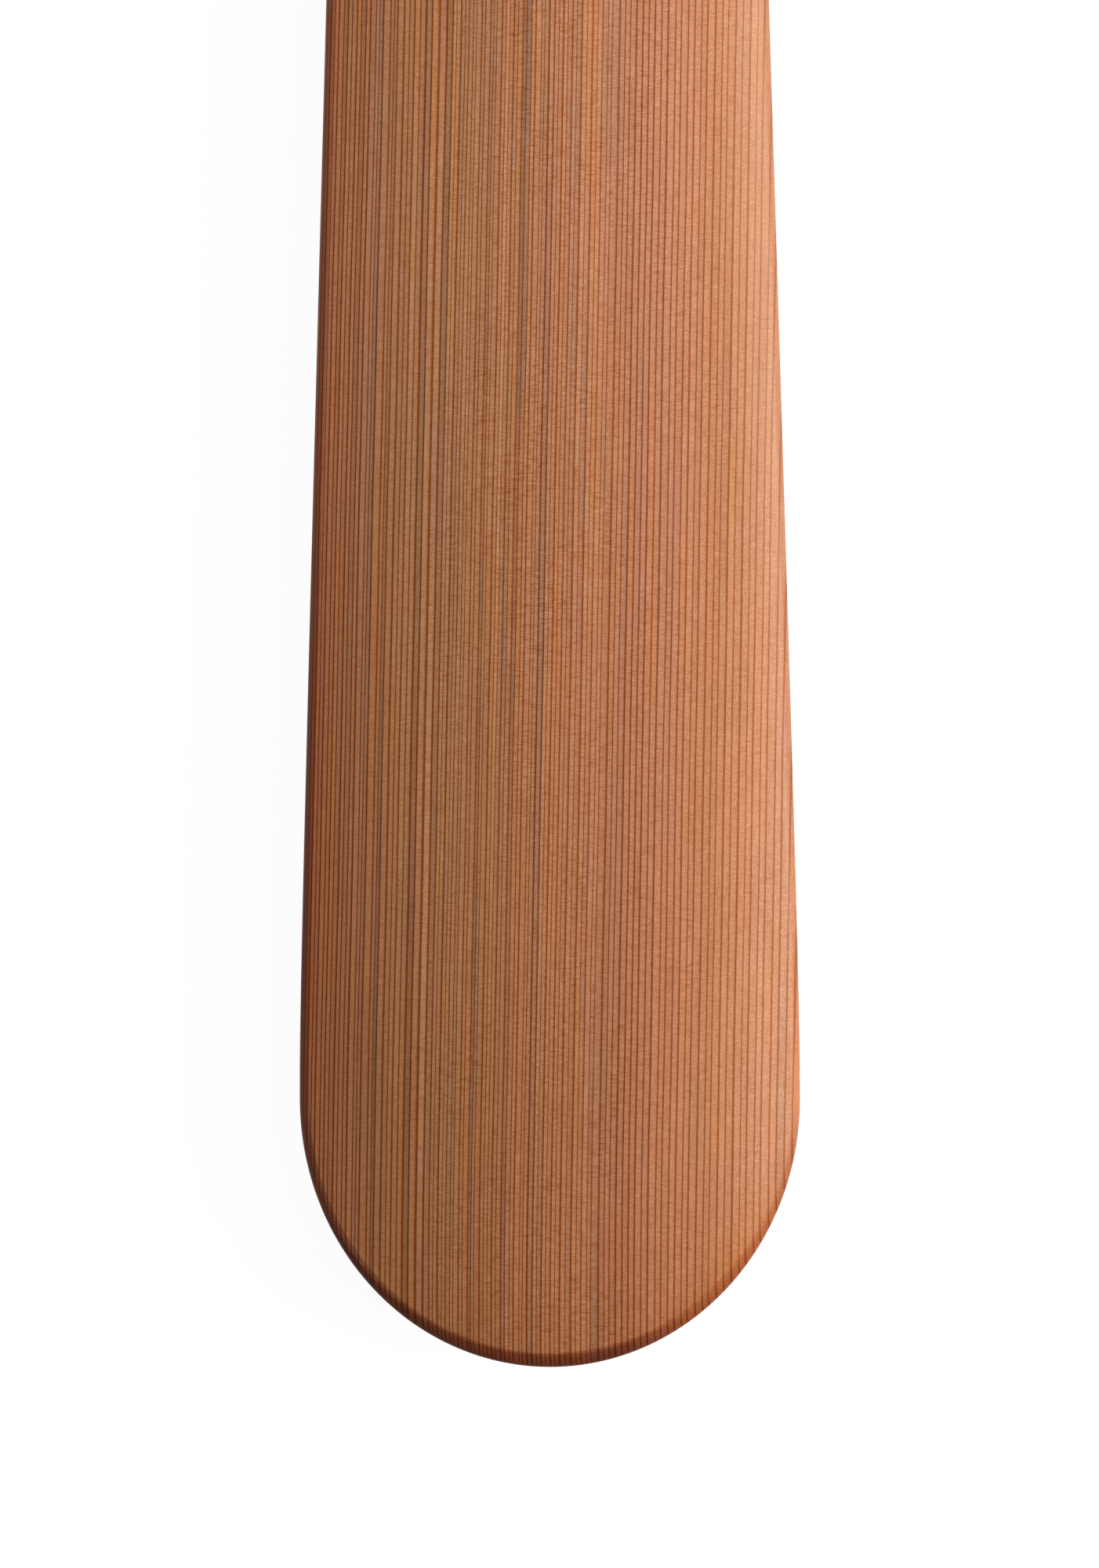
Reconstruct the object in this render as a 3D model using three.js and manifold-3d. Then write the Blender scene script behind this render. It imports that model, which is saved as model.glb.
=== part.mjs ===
import * as THREE from "three";
import { mergeVertices } from "three/addons/utils/BufferGeometryUtils.js";
import Module from "manifold-3d";

// A take-apart Greenland paddle. Each half is a blade and half the loom carved from one cedar board.
// A tube bonded into the right half slides into a tube bonded into the left half, and a sprung
// button holds them together. Millimetres. X runs along the paddle, Y across the blades and Z
// through their thickness. The paddle lies on its loom, with the origin under the loom's middle.

// The paddle as a whole
const OVERALL_LENGTH = 2150;
const LOOM_LENGTH = 520;
const LOOM_WIDTH = 38;
const LOOM_THICKNESS = 32;
const LOOM_FACE_FLAT = 14; // width of the level strip along the loom's upper and lower faces
const LOOM_SIDE_FLAT = 6; // height of the upright strip along the loom's sides
const SEAM_GAP = 0.3; // between the end faces of the two halves

// Blade
const BLADE_WIDTH = 89;
const BLADE_ROOT_WIDTH = 49; // where the straight taper reaches the shoulder
const TIP_LENGTH = 47.7; // from the widest place to the end, a half ellipse seen from above
const TAPER_ROUNDING_LENGTH = 20.4; // how gently the straight taper turns into the widest place
const SHOULDER_LENGTH = 60; // over which the loom widens into the blade
const RIDGE_FADE_LENGTH = 230; // over which the loom's rounded section turns into the blade's lens
const RIDGE_FLAT = 6; // width of the level strip along the middle of the blade
const BLADE_TIP_THICKNESS = 11; // at the widest place, in the middle
const THICKNESS_TAPER_POWER = 1.8;
const EDGE_THICKNESS = 5.6; // at the crease between the face and the rounded edge
const EDGE_FLAT = 0.8; // height of the upright strip along the very edge
const SIDE_EDGE_BAND = 1.7; // how far the rounded edge reaches in from the outline
const TIP_EDGE_BAND = 2.4; // the same at the very end, which is sanded further
const EDGE_START_ANGLE = THREE.MathUtils.degToRad(30); // slope of the rounded edge at its crease

// Ferrule: the socket is bonded into the left half and the spigot into the right half
const SOCKET_DIAMETER = 25;
const SOCKET_WALL = 1.5;
const SPIGOT_WALL = 2.4;
const SLIDE_CLEARANCE = 0.3; // all round, between the spigot and the socket
const GLUE_GAP = 0.3; // filled with resin
const SPIGOT_REACH = 100; // how far the spigot goes into the socket
const SPIGOT_ROOT_LENGTH = 90; // how far the spigot is bonded into its own half
const SOCKET_SPARE = 4; // room left beyond the spigot's end
const LEAD_IN = 0.6; // chamfer on the mouth of the socket and the end of the spigot
const PLUG_LENGTH = 8;

// Seal ring in a groove near the spigot's root
const SEAL_SETBACK = 7; // from the seam
const SEAL_THICKNESS = 1.3;
const SEAL_GROOVE_DEPTH = 1.2;
const SEAL_CLEARANCE = 0.3; // at each side of the ring in its groove

// Reinforcing band round each cut end of the loom, set flush
const BAND_LENGTH = 40;
const BAND_THICKNESS = 0.9;

// Snap button, its bushing and its spring
const BUTTON_SETBACK = 19; // from the seam
const BUTTON_DIAMETER = 6.4;
const BUTTON_CLEARANCE = 0.3;
const BUTTON_SINK = 0.6; // how far the top of the button lies under the loom's face
const BUTTON_DOME = 1.4;
const BUTTON_FLANGE_DIAMETER = 8;
const BUTTON_FLANGE_THICKNESS = 1;
const BUSHING_WALL = 1.6;
const BUSHING_SINK = 0.2;
const BUSHING_DISH = 0.8; // depth and width of the chamfer that guides the fingertip
const SPRING_THICKNESS = 0.8;
const SPRING_WIDTH = 6;
const SPRING_LENGTH = 36; // from the button to the bend
const SPRING_OVERHANG = 4; // beyond the middle of the button
const SPRING_BEND_RADIUS = 2.5;
const SEAT_GAP = 0.3; // between loose pieces that rest on each other

// How finely the curved shapes are divided
const FACE_STEPS = 5;
const EDGE_STEPS = 3;
const SHOULDER_STEPS = 11;
const BLADE_STEPS = 11;
const TIP_TURNS = 30;
const ROUND_STEPS = 40;
const DOME_STEPS = 4;
const SEAL_STEPS = 8;

const CUT_OVERRUN = 5; // how far a cutting shape runs past what it cuts
const MERGE_DISTANCE_SHARE = 1e-8;

const { lerp, smoothstep } = THREE.MathUtils;
const wasm = await Module();
wasm.setup();

const cedar = new THREE.MeshStandardMaterial({ color: "#aa6f4b", roughness: 0.55, metalness: 0 });
const carbon = new THREE.MeshStandardMaterial({ color: "#1e1f21", roughness: 0.35, metalness: 0 });
const brass = new THREE.MeshStandardMaterial({ color: "#b5924c", roughness: 0.35, metalness: 1 });
const steel = new THREE.MeshStandardMaterial({ color: "#b9bcc0", roughness: 0.3, metalness: 1 });
const rubber = new THREE.MeshStandardMaterial({ color: "#161616", roughness: 0.8, metalness: 0 });
const cork = new THREE.MeshStandardMaterial({ color: "#b98d5f", roughness: 0.9, metalness: 0 });

// Places along the paddle, measured from the seam towards a tip
const halfLength = OVERALL_LENGTH / 2;
const shoulderStart = LOOM_LENGTH / 2;
const widestPlace = halfLength - TIP_LENGTH;
const loomEnd = SEAM_GAP / 2;

// Radii and lengths of the ferrule
const socketRadius = SOCKET_DIAMETER / 2;
const socketBore = socketRadius - SOCKET_WALL;
const spigotRadius = socketBore - SLIDE_CLEARANCE;
const spigotBore = spigotRadius - SPIGOT_WALL;
const socketLength = SPIGOT_REACH + SOCKET_SPARE + PLUG_LENGTH;

// A geometry as a solid that can be cut, and back again
function solidOf(geometry) {
  const bare = new THREE.BufferGeometry();
  bare.setAttribute("position", geometry.getAttribute("position"));
  bare.setIndex(geometry.index);
  const merged = mergeVertices(bare, OVERALL_LENGTH * MERGE_DISTANCE_SHARE);
  const vertProperties = merged.getAttribute("position").array;
  const corners = Array.from(merged.index.array);
  const triangles = [];
  while (corners.length) triangles.push(corners.splice(0, 3));
  const whole = triangles.filter(([a, b, c]) => a !== b && b !== c && c !== a);
  const triVerts = new Uint32Array(whole.flat());
  return new wasm.Manifold(new wasm.Mesh({ numProp: 3, vertProperties, triVerts }));
}

function geometryOf(solid) {
  const mesh = solid.getMesh();
  const geometry = new THREE.BufferGeometry();
  geometry.setAttribute("position", new THREE.BufferAttribute(mesh.vertProperties, 3));
  geometry.setIndex(new THREE.BufferAttribute(mesh.triVerts, 1));
  const flat = geometry.toNonIndexed();
  flat.computeVertexNormals();
  return flat;
}

function cut(geometry, ...cutters) {
  return geometryOf(cutters.reduce((solid, cutter) => solid.subtract(solidOf(cutter)), solidOf(geometry)));
}

// A shape of revolution about X, from points (distance along X, radius) that run round it
function turned(points) {
  const profile = points.map(([along, radius]) => new THREE.Vector2(radius, along));
  return new THREE.LatheGeometry(profile, ROUND_STEPS).rotateZ(-Math.PI / 2);
}

function rod(radius, from, to) {
  return turned([
    [from, 0],
    [from, radius],
    [to, radius],
    [to, 0],
  ]);
}

// An upright round hole or peg at a distance along X
function upright(radius, along, from, to) {
  const geometry = new THREE.CylinderGeometry(radius, radius, to - from, ROUND_STEPS);
  return geometry.rotateX(Math.PI / 2).translate(along, 0, (from + to) / 2);
}

// A flat outline of points (across, up), drawn out along X
function drawnAlong(shape, from, to) {
  const geometry = new THREE.ExtrudeGeometry(shape, { depth: to - from, bevelEnabled: false });
  const turn = new THREE.Matrix4().makeBasis(
    new THREE.Vector3(0, 1, 0),
    new THREE.Vector3(0, 0, 1),
    new THREE.Vector3(1, 0, 0),
  );
  return geometry.applyMatrix4(turn).translate(from, 0, 0);
}

// Values from one place to another, without the first
function stepsBetween(from, to, count) {
  return Array.from({ length: count }, (_, i) => lerp(from, to, (i + 1) / count));
}

// A point on a quarter of an ellipse that joins a flat on top to a flat at the side
function cornerPoint(share, flat, side, width, top) {
  const turn = (share * Math.PI) / 2;
  return [flat + (width - flat) * Math.sin(turn), side + (top - side) * Math.cos(turn)];
}

// The loom's outline, drawn in by an inset
function loomShape(inset) {
  const flat = LOOM_FACE_FLAT / 2;
  const side = LOOM_SIDE_FLAT / 2;
  const steps = FACE_STEPS + EDGE_STEPS;
  const corner = [0, ...stepsBetween(0, 1, steps)].map((share) =>
    cornerPoint(share, flat, side, LOOM_WIDTH / 2 - inset, LOOM_THICKNESS / 2 - inset),
  );
  const turnedBack = corner.toReversed();
  const outline = [
    ...corner.map(([across, up]) => [-across, up]),
    ...turnedBack.map(([across, up]) => [-across, -up]),
    ...corner.map(([across, up]) => [across, -up]),
    ...turnedBack,
  ];
  return new THREE.Shape(outline.map(([across, up]) => new THREE.Vector2(across, up)));
}

// A ring between two outlines of the loom, such as a band or what is cut away for it
function loomRing(outerInset, innerInset, from, to) {
  const shape = loomShape(outerInset);
  shape.holes.push(loomShape(innerInset));
  return drawnAlong(shape, from, to);
}

// 0 on the loom, rising smoothly to 1 over a length from the shoulder
function pastShoulder(x, length) {
  return smoothstep(x, shoulderStart, shoulderStart + length);
}

// The distance that the taper has run from the widest place, where it starts gently
function taperRun(x) {
  return Math.hypot(widestPlace - x, TAPER_ROUNDING_LENGTH) - TAPER_ROUNDING_LENGTH;
}

function halfWidth(x) {
  const share = taperRun(x) / taperRun(shoulderStart + SHOULDER_LENGTH);
  const blade = lerp(BLADE_WIDTH, BLADE_ROOT_WIDTH, share);
  return lerp(LOOM_WIDTH, blade, pastShoulder(x, SHOULDER_LENGTH)) / 2;
}

function halfThickness(x) {
  const share = (widestPlace - x) / (widestPlace - shoulderStart);
  const blade = lerp(BLADE_TIP_THICKNESS, LOOM_THICKNESS, share ** THICKNESS_TAPER_POWER);
  return lerp(LOOM_THICKNESS, blade, pastShoulder(x, SHOULDER_LENGTH)) / 2;
}

// Half a cross-section as points (across, up), from the middle of the upper face round the edge to
// the middle of the lower face. The loom's rounded corner turns into the blade's long face, which
// ends at a crease, and the short round of its edge.
function halfSection(x, edgeBand) {
  const bladeShare = pastShoulder(x, RIDGE_FADE_LENGTH);
  const width = halfWidth(x);
  const top = halfThickness(x);
  const flat = lerp(LOOM_FACE_FLAT, RIDGE_FLAT, bladeShare) / 2;
  const side = lerp(LOOM_SIDE_FLAT, EDGE_FLAT, bladeShare) / 2;
  const crease = EDGE_THICKNESS / 2;
  const facePoint = (share) => [lerp(flat, width - edgeBand, share), lerp(top, crease, share * share)];
  const edgePoint = (share) => {
    const turn = lerp(EDGE_START_ANGLE, Math.PI / 2, share);
    const outShare = (Math.sin(turn) - Math.sin(EDGE_START_ANGLE)) / (1 - Math.sin(EDGE_START_ANGLE));
    const upShare = Math.cos(turn) / Math.cos(EDGE_START_ANGLE);
    return [width - edgeBand + edgeBand * outShare, lerp(side, crease, upShare)];
  };
  const corner = stepsBetween(0, FACE_STEPS + EDGE_STEPS, FACE_STEPS + EDGE_STEPS).map((step) => {
    const onLoom = cornerPoint(step / (FACE_STEPS + EDGE_STEPS), flat, side, width, top);
    const onFace = step <= FACE_STEPS;
    const onBlade = onFace ? facePoint(step / FACE_STEPS) : edgePoint((step - FACE_STEPS) / EDGE_STEPS);
    return onLoom.map((value, axis) => lerp(value, onBlade[axis], bladeShare));
  });
  const upper = [[0, top], [flat, top], ...corner];
  const lower = upper.map(([across, up]) => [across, -up]).reverse();
  return [...upper, ...lower];
}

// A whole cross-section, as points in space
function ringAt(x) {
  const half = halfSection(x, SIDE_EDGE_BAND);
  const near = half.map(([across, up]) => [x, across, up]);
  const far = half.slice(1, -1).reverse();
  return [...near, ...far.map(([across, up]) => [x, -across, up])];
}

// Half a cross-section turned about the middle of the widest place, towards the end of the blade
function tipSection(turn) {
  const band = lerp(SIDE_EDGE_BAND, TIP_EDGE_BAND, Math.sin(turn) ** 2);
  const stretch = TIP_LENGTH / (BLADE_WIDTH / 2);
  return halfSection(widestPlace, band).map(([across, up]) => [
    widestPlace + across * stretch * Math.sin(turn),
    across * Math.cos(turn),
    up,
  ]);
}

// Blade and half loom in one piece, uncut, with the loom's end at the seam and the tip along +X
function carvedHalf() {
  const ridgeEnd = shoulderStart + RIDGE_FADE_LENGTH;
  const stations = [
    loomEnd,
    shoulderStart,
    ...stepsBetween(shoulderStart, ridgeEnd, SHOULDER_STEPS),
    ...stepsBetween(ridgeEnd, widestPlace, BLADE_STEPS),
  ];
  const triangles = [];
  const addQuad = (a, b, c, d) => triangles.push(a, d, b, b, d, c);

  const rings = stations.map(ringAt);
  for (let i = 0; i + 1 < rings.length; i++) {
    rings[i].forEach((point, j) => {
      const k = (j + 1) % rings[i].length;
      addQuad(point, rings[i][k], rings[i + 1][k], rings[i + 1][j]);
    });
  }

  const endMiddle = [loomEnd, 0, 0];
  rings[0].forEach((point, j) => triangles.push(endMiddle, point, rings[0][(j + 1) % rings[0].length]));

  const tipSections = Array.from({ length: TIP_TURNS + 1 }, (_, i) => tipSection((i / TIP_TURNS) * Math.PI));
  for (let i = 0; i < TIP_TURNS; i++) {
    const [here, next] = [tipSections[i], tipSections[i + 1]];
    const last = here.length - 1;
    triangles.push(here[1], here[0], next[1]);
    for (let j = 1; j + 1 < last; j++) addQuad(here[j], here[j + 1], next[j + 1], next[j]);
    triangles.push(here[last - 1], next[last - 1], here[last]);
  }

  const geometry = new THREE.BufferGeometry();
  geometry.setAttribute("position", new THREE.Float32BufferAttribute(triangles.flat(), 3));
  return mergeVertices(geometry, OVERALL_LENGTH * MERGE_DISTANCE_SHARE);
}

// What is cut from a half's loom for its band and its tube
function bandSeat() {
  const inset = BAND_THICKNESS + GLUE_GAP;
  return loomRing(-CUT_OVERRUN, inset, loomEnd - CUT_OVERRUN, loomEnd + BAND_LENGTH + GLUE_GAP);
}

function tubeBore(radius, depth) {
  return rod(radius + GLUE_GAP, loomEnd - CUT_OVERRUN, loomEnd + depth + GLUE_GAP);
}

function loomBand() {
  return loomRing(0, BAND_THICKNESS, loomEnd, loomEnd + BAND_LENGTH);
}

const buttonHoleRadius = BUTTON_DIAMETER / 2 + BUTTON_CLEARANCE;
const bushingRadius = buttonHoleRadius + BUSHING_WALL;

// An upright hole from the middle of the ferrule out through the loom's upper face
function buttonHole(radius, along) {
  return upright(radius, along, 0, LOOM_THICKNESS / 2 + CUT_OVERRUN);
}

function socketTube() {
  const [from, to] = [loomEnd, loomEnd + socketLength];
  const tube = turned([
    [from, socketBore + LEAD_IN],
    [from, socketRadius],
    [to, socketRadius],
    [to, socketBore],
    [from + LEAD_IN, socketBore],
    [from, socketBore + LEAD_IN],
  ]);
  return cut(tube, buttonHole(buttonHoleRadius, BUTTON_SETBACK));
}

// Lines the button's hole through the band and the wood, and guides a fingertip to the button
function buttonBushing() {
  const bottom = socketRadius + GLUE_GAP;
  const top = LOOM_THICKNESS / 2 - BUSHING_SINK;
  const profile = [
    [buttonHoleRadius, bottom],
    [bushingRadius, bottom],
    [bushingRadius, top],
    [buttonHoleRadius + BUSHING_DISH, top],
    [buttonHoleRadius, top - BUSHING_DISH],
    [buttonHoleRadius, bottom],
  ].map(([radius, up]) => new THREE.Vector2(radius, up));
  const ring = new THREE.LatheGeometry(profile, ROUND_STEPS).rotateX(Math.PI / 2);
  return ring.translate(BUTTON_SETBACK, 0, 0);
}

// The spigot is drawn in the right half's frame, so it reaches back past the seam
function spigotTube() {
  const [tip, root] = [loomEnd - SPIGOT_REACH, loomEnd + SPIGOT_ROOT_LENGTH];
  const grooveFloor = spigotRadius - SEAL_GROOVE_DEPTH;
  const grooveHalf = SEAL_THICKNESS / 2 + SEAL_CLEARANCE;
  const tube = turned([
    [tip, spigotBore],
    [tip, spigotRadius - LEAD_IN],
    [tip + LEAD_IN, spigotRadius],
    [-SEAL_SETBACK - grooveHalf, spigotRadius],
    [-SEAL_SETBACK - grooveHalf, grooveFloor],
    [-SEAL_SETBACK + grooveHalf, grooveFloor],
    [-SEAL_SETBACK + grooveHalf, spigotRadius],
    [root, spigotRadius],
    [root, spigotBore],
    [tip, spigotBore],
  ]);
  return cut(tube, buttonHole(buttonHoleRadius, -BUTTON_SETBACK));
}

function sealRing() {
  const space = SEAL_GROOVE_DEPTH + SLIDE_CLEARANCE;
  const ringRadius = socketBore - space / 2;
  const ring = new THREE.TorusGeometry(ringRadius, SEAL_THICKNESS / 2, SEAL_STEPS, ROUND_STEPS);
  return ring.rotateY(Math.PI / 2).translate(-SEAL_SETBACK, 0, 0);
}

// How high a level piece of a given half width can reach inside the spigot
function headroom(halfPieceWidth) {
  return Math.sqrt(spigotBore ** 2 - halfPieceWidth ** 2) - SEAT_GAP;
}

const flangeTop = headroom(BUTTON_FLANGE_DIAMETER / 2);
const flangeBottom = flangeTop - BUTTON_FLANGE_THICKNESS;

function snapButton() {
  const top = LOOM_THICKNESS / 2 - BUTTON_SINK;
  const stem = BUTTON_DIAMETER / 2;
  const flange = BUTTON_FLANGE_DIAMETER / 2;
  const dome = [0, ...stepsBetween(0, Math.PI / 2, DOME_STEPS)].map((turn) => [
    stem * Math.cos(turn),
    top - BUTTON_DOME + BUTTON_DOME * Math.sin(turn),
  ]);
  dome[DOME_STEPS][0] = 0;
  const profile = [
    [0, flangeBottom],
    [flange, flangeBottom],
    [flange, flangeTop],
    [stem, flangeTop],
    ...dome,
  ].map(([radius, up]) => new THREE.Vector2(radius, up));
  const button = new THREE.LatheGeometry(profile, ROUND_STEPS).rotateX(Math.PI / 2);
  return button.translate(-BUTTON_SETBACK, 0, 0);
}

// A leaf bent into a V: its upper leg pushes the button out, its lower leg stands on the tube
function buttonSpring() {
  const half = SPRING_THICKNESS / 2;
  const end = -BUTTON_SETBACK + SPRING_OVERHANG;
  const bend = -BUTTON_SETBACK - SPRING_LENGTH;
  const upper = flangeBottom - SEAT_GAP - half;
  const lower = half - headroom(SPRING_WIDTH / 2);
  const middle = (upper + lower) / 2;
  const shape = new THREE.Shape();
  shape.moveTo(end, lower - half);
  shape.lineTo(end, lower + half);
  shape.lineTo(bend, middle - SPRING_BEND_RADIUS + half);
  shape.absarc(bend, middle, SPRING_BEND_RADIUS - half, -Math.PI / 2, Math.PI / 2, true);
  shape.lineTo(end, upper - half);
  shape.lineTo(end, upper + half);
  shape.lineTo(bend, middle + SPRING_BEND_RADIUS + half);
  shape.absarc(bend, middle, SPRING_BEND_RADIUS + half, Math.PI / 2, -Math.PI / 2, false);
  const leaf = new THREE.ExtrudeGeometry(shape, { depth: SPRING_WIDTH, bevelEnabled: false });
  return leaf.translate(0, 0, -SPRING_WIDTH / 2).rotateX(Math.PI / 2);
}

function piece(name, geometry, material) {
  const mesh = new THREE.Mesh(geometry, material);
  mesh.name = name;
  return mesh;
}

// The left half is drawn with its tip along +X and turned round to lie along -X
const leftHalf = new THREE.Group();
leftHalf.rotation.z = Math.PI;
const leftWood = cut(
  carvedHalf(),
  bandSeat(),
  tubeBore(socketRadius, socketLength),
  buttonHole(bushingRadius + GLUE_GAP, BUTTON_SETBACK),
);
const leftBand = cut(loomBand(), buttonHole(bushingRadius + GLUE_GAP, BUTTON_SETBACK));
const socketPlugRadius = socketBore - GLUE_GAP;
const socketPlug = rod(socketPlugRadius, loomEnd + socketLength - PLUG_LENGTH, loomEnd + socketLength);
leftHalf.add(
  piece("left_blade_and_loom", leftWood, cedar),
  piece("left_loom_band", leftBand, carbon),
  piece("socket_tube", socketTube(), carbon),
  piece("socket_plug", socketPlug, cork),
  piece("button_bushing", buttonBushing(), brass),
);

const rightHalf = new THREE.Group();
const rightWood = cut(carvedHalf(), bandSeat(), tubeBore(spigotRadius, SPIGOT_ROOT_LENGTH));
const spigotPlugRadius = spigotBore - GLUE_GAP;
const spigotTipPlug = rod(spigotPlugRadius, loomEnd - SPIGOT_REACH, loomEnd - SPIGOT_REACH + PLUG_LENGTH);
const rootEnd = loomEnd + SPIGOT_ROOT_LENGTH;
const spigotRootPlug = rod(spigotPlugRadius, rootEnd - PLUG_LENGTH, rootEnd);
rightHalf.add(
  piece("right_blade_and_loom", rightWood, cedar),
  piece("right_loom_band", loomBand(), carbon),
  piece("spigot_tube", spigotTube(), carbon),
  piece("spigot_tip_plug", spigotTipPlug, cork),
  piece("spigot_root_plug", spigotRootPlug, cork),
  piece("spigot_seal_ring", sealRing(), rubber),
  piece("button_spring", buttonSpring(), steel),
  piece("snap_button", snapButton(), brass),
);

const paddle = new THREE.Group();
paddle.position.z = LOOM_THICKNESS / 2;
paddle.add(leftHalf, rightHalf);

export default paddle;
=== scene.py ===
import math
from functools import partialmethod

import bmesh
import bpy
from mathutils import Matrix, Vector


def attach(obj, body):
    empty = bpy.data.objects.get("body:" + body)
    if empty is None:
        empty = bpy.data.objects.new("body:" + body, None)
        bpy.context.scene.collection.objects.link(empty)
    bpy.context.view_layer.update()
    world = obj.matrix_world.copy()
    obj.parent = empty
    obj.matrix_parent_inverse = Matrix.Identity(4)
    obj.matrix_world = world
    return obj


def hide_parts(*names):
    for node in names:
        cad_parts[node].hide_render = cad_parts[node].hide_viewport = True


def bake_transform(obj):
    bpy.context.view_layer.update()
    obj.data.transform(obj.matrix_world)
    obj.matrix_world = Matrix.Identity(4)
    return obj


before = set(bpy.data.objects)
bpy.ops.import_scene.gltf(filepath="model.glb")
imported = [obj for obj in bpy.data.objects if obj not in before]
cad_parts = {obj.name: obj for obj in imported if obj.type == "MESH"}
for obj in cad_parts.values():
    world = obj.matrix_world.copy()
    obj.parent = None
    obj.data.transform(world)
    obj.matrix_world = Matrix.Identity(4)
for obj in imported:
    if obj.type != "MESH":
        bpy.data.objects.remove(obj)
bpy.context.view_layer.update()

# The two wooden halves. Each is a blade and half the loom, carved from one board of upright-grained
# western red cedar and oiled. The loom's cut end is stepped down for its band and bored for its tube,
# and the left one has a hole for the button.
MM = 0.001
LOOM_HALF_LENGTH = 260 * MM
LOOM_WIDTH = 38 * MM
LOOM_THICKNESS = 32 * MM
LOOM_FACE_FLAT = 14 * MM
LOOM_SIDE_FLAT = 6 * MM
HALF_LENGTH = 1075 * MM
BLADE_WIDTH = 89 * MM
BLADE_ROOT_WIDTH = 49 * MM
TIP_LENGTH = 47.7 * MM
TAPER_ROUNDING = 20.4 * MM
SHOULDER_LENGTH = 60 * MM
RIDGE_FADE_LENGTH = 230 * MM
RIDGE_FLAT = 6 * MM
BLADE_TIP_THICKNESS = 11 * MM
THICKNESS_TAPER_POWER = 1.8
EDGE_THICKNESS = 5.6 * MM
EDGE_FLAT = 0.8 * MM
SIDE_EDGE_BAND = 1.7 * MM
TIP_EDGE_BAND = 2.4 * MM
EDGE_START_ANGLE = math.radians(30)
CREASE_SHARE = 5 / 8  # of the loom's rounded corner that turns into the blade's face
SEAM = 0.15 * MM  # from the middle of the paddle to each cut end
ROUND_SIDES = 96
GLUE_GAP = 0.3 * MM
SOCKET_RADIUS = 12.5 * MM
SOCKET_LENGTH = 112 * MM
SPIGOT_RADIUS = 10.7 * MM
SPIGOT_ROOT = 90 * MM
BAND_LENGTH = 40 * MM
BAND_THICKNESS = 0.9 * MM
BUTTON_SETBACK = 19 * MM
BUSHING_RADIUS = 5.1 * MM

STATIONS = 230  # cross-sections from the seam to the tip
SEAM_STATIONS = 5  # of them, those that shape the cut end
TIP_SHARE = 0.24  # of the rest, those that turn round the tip
STATION_GATHER = 1.5  # how closely the rest are gathered towards the blade's end
FLAT_COLUMNS = 2  # steps round a quarter of a cross-section: on the level strip
FACE_COLUMNS = 34  # on the face
EDGE_COLUMNS = 10  # round the edge
SIDE_COLUMNS = 2  # and on the upright strip of the edge
CREASE_ANGLE = math.radians(12)  # sharper edges of the wood are shaded as creases

GRAIN_START = 971.5 * MM  # from the middle of the paddle to where the grain is counted from
GRAIN_HEIGHT = 21  # millimetres above the floor, from where it is counted upwards
RINGS = 104.6  # annual rings across the sawn board
BOARD = 100  # millimetres across the sawn board
RING_STEP = 3.71  # how far apart neighbouring rings lie in a noise that is their own
NOISE_SPREAD = 2.4  # from noise that lies about 0.5 to noise between about -1 and 1


def paint(code):
    """A colour from its web code, as the render works with it."""
    parts = [int(code[i : i + 2], 16) / 255 for i in (1, 3, 5)]
    return (*((part / 12.92 if part <= 0.04045 else ((part + 0.055) / 1.055) ** 2.4) for part in parts), 1)


def feed(tree, socket, value):
    """Links a value or an output into an input, or sets the input to a number or a web colour."""
    if isinstance(value, Field):
        tree.links.new(value.output, socket)
    elif isinstance(value, bpy.types.NodeSocket):
        tree.links.new(value, socket)
    else:
        socket.default_value = paint(value) if isinstance(value, str) else value


def feed_all(tree, node, inputs):
    """Feeds several inputs of a node, each by its name or number."""
    for key, value in inputs.items():
        feed(tree, node.inputs[key], value)


def add_node(tree, kind, inputs=None, **settings):
    """A new node with its settings made and its inputs fed."""
    node = tree.nodes.new(kind)
    for name, value in settings.items():
        setattr(node, name, value)
    feed_all(tree, node, inputs or {})
    return node


class Field:
    """A number that varies over a piece. Sums written with it become Math nodes in its tree."""

    def __init__(self, tree, output):
        self.tree = tree
        self.output = output

    def math(self, operation, *others):
        """What a Math node makes of this number and others."""
        values = dict(enumerate((self, *others)))
        node = add_node(self.tree, "ShaderNodeMath", values, operation=operation)
        return Field(self.tree, node.outputs[0])

    __add__ = __radd__ = partialmethod(math, "ADD")
    __mul__ = __rmul__ = partialmethod(math, "MULTIPLY")
    __sub__ = partialmethod(math, "SUBTRACT")
    __truediv__ = partialmethod(math, "DIVIDE")
    __gt__ = partialmethod(math, "GREATER_THAN")
    __lt__ = partialmethod(math, "LESS_THAN")

    def __rsub__(self, other):
        return self * -1 + other

    def remap(self, from_low, from_high, to_low=0.0, to_high=1.0, smooth=False):
        """From one range to another, held at its ends."""
        kind = "SMOOTHSTEP" if smooth else "LINEAR"
        values = {0: self, 1: from_low, 2: from_high, 3: to_low, 4: to_high}
        node = add_node(self.tree, "ShaderNodeMapRange", values, interpolation_type=kind)
        return Field(self.tree, node.outputs[0])

    def between(self, low, high):
        """From low at 0 to high at 1."""
        return low + self * (high - low)


def combined(tree, x=0.0, y=0.0, z=0.0):
    """A vector from its three parts."""
    return add_node(tree, "ShaderNodeCombineXYZ", {"X": x, "Y": y, "Z": z}).outputs[0]


def separated(tree, vector):
    """The three parts of a vector."""
    node = add_node(tree, "ShaderNodeSeparateXYZ", {0: vector})
    return [Field(tree, output) for output in node.outputs]


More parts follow.
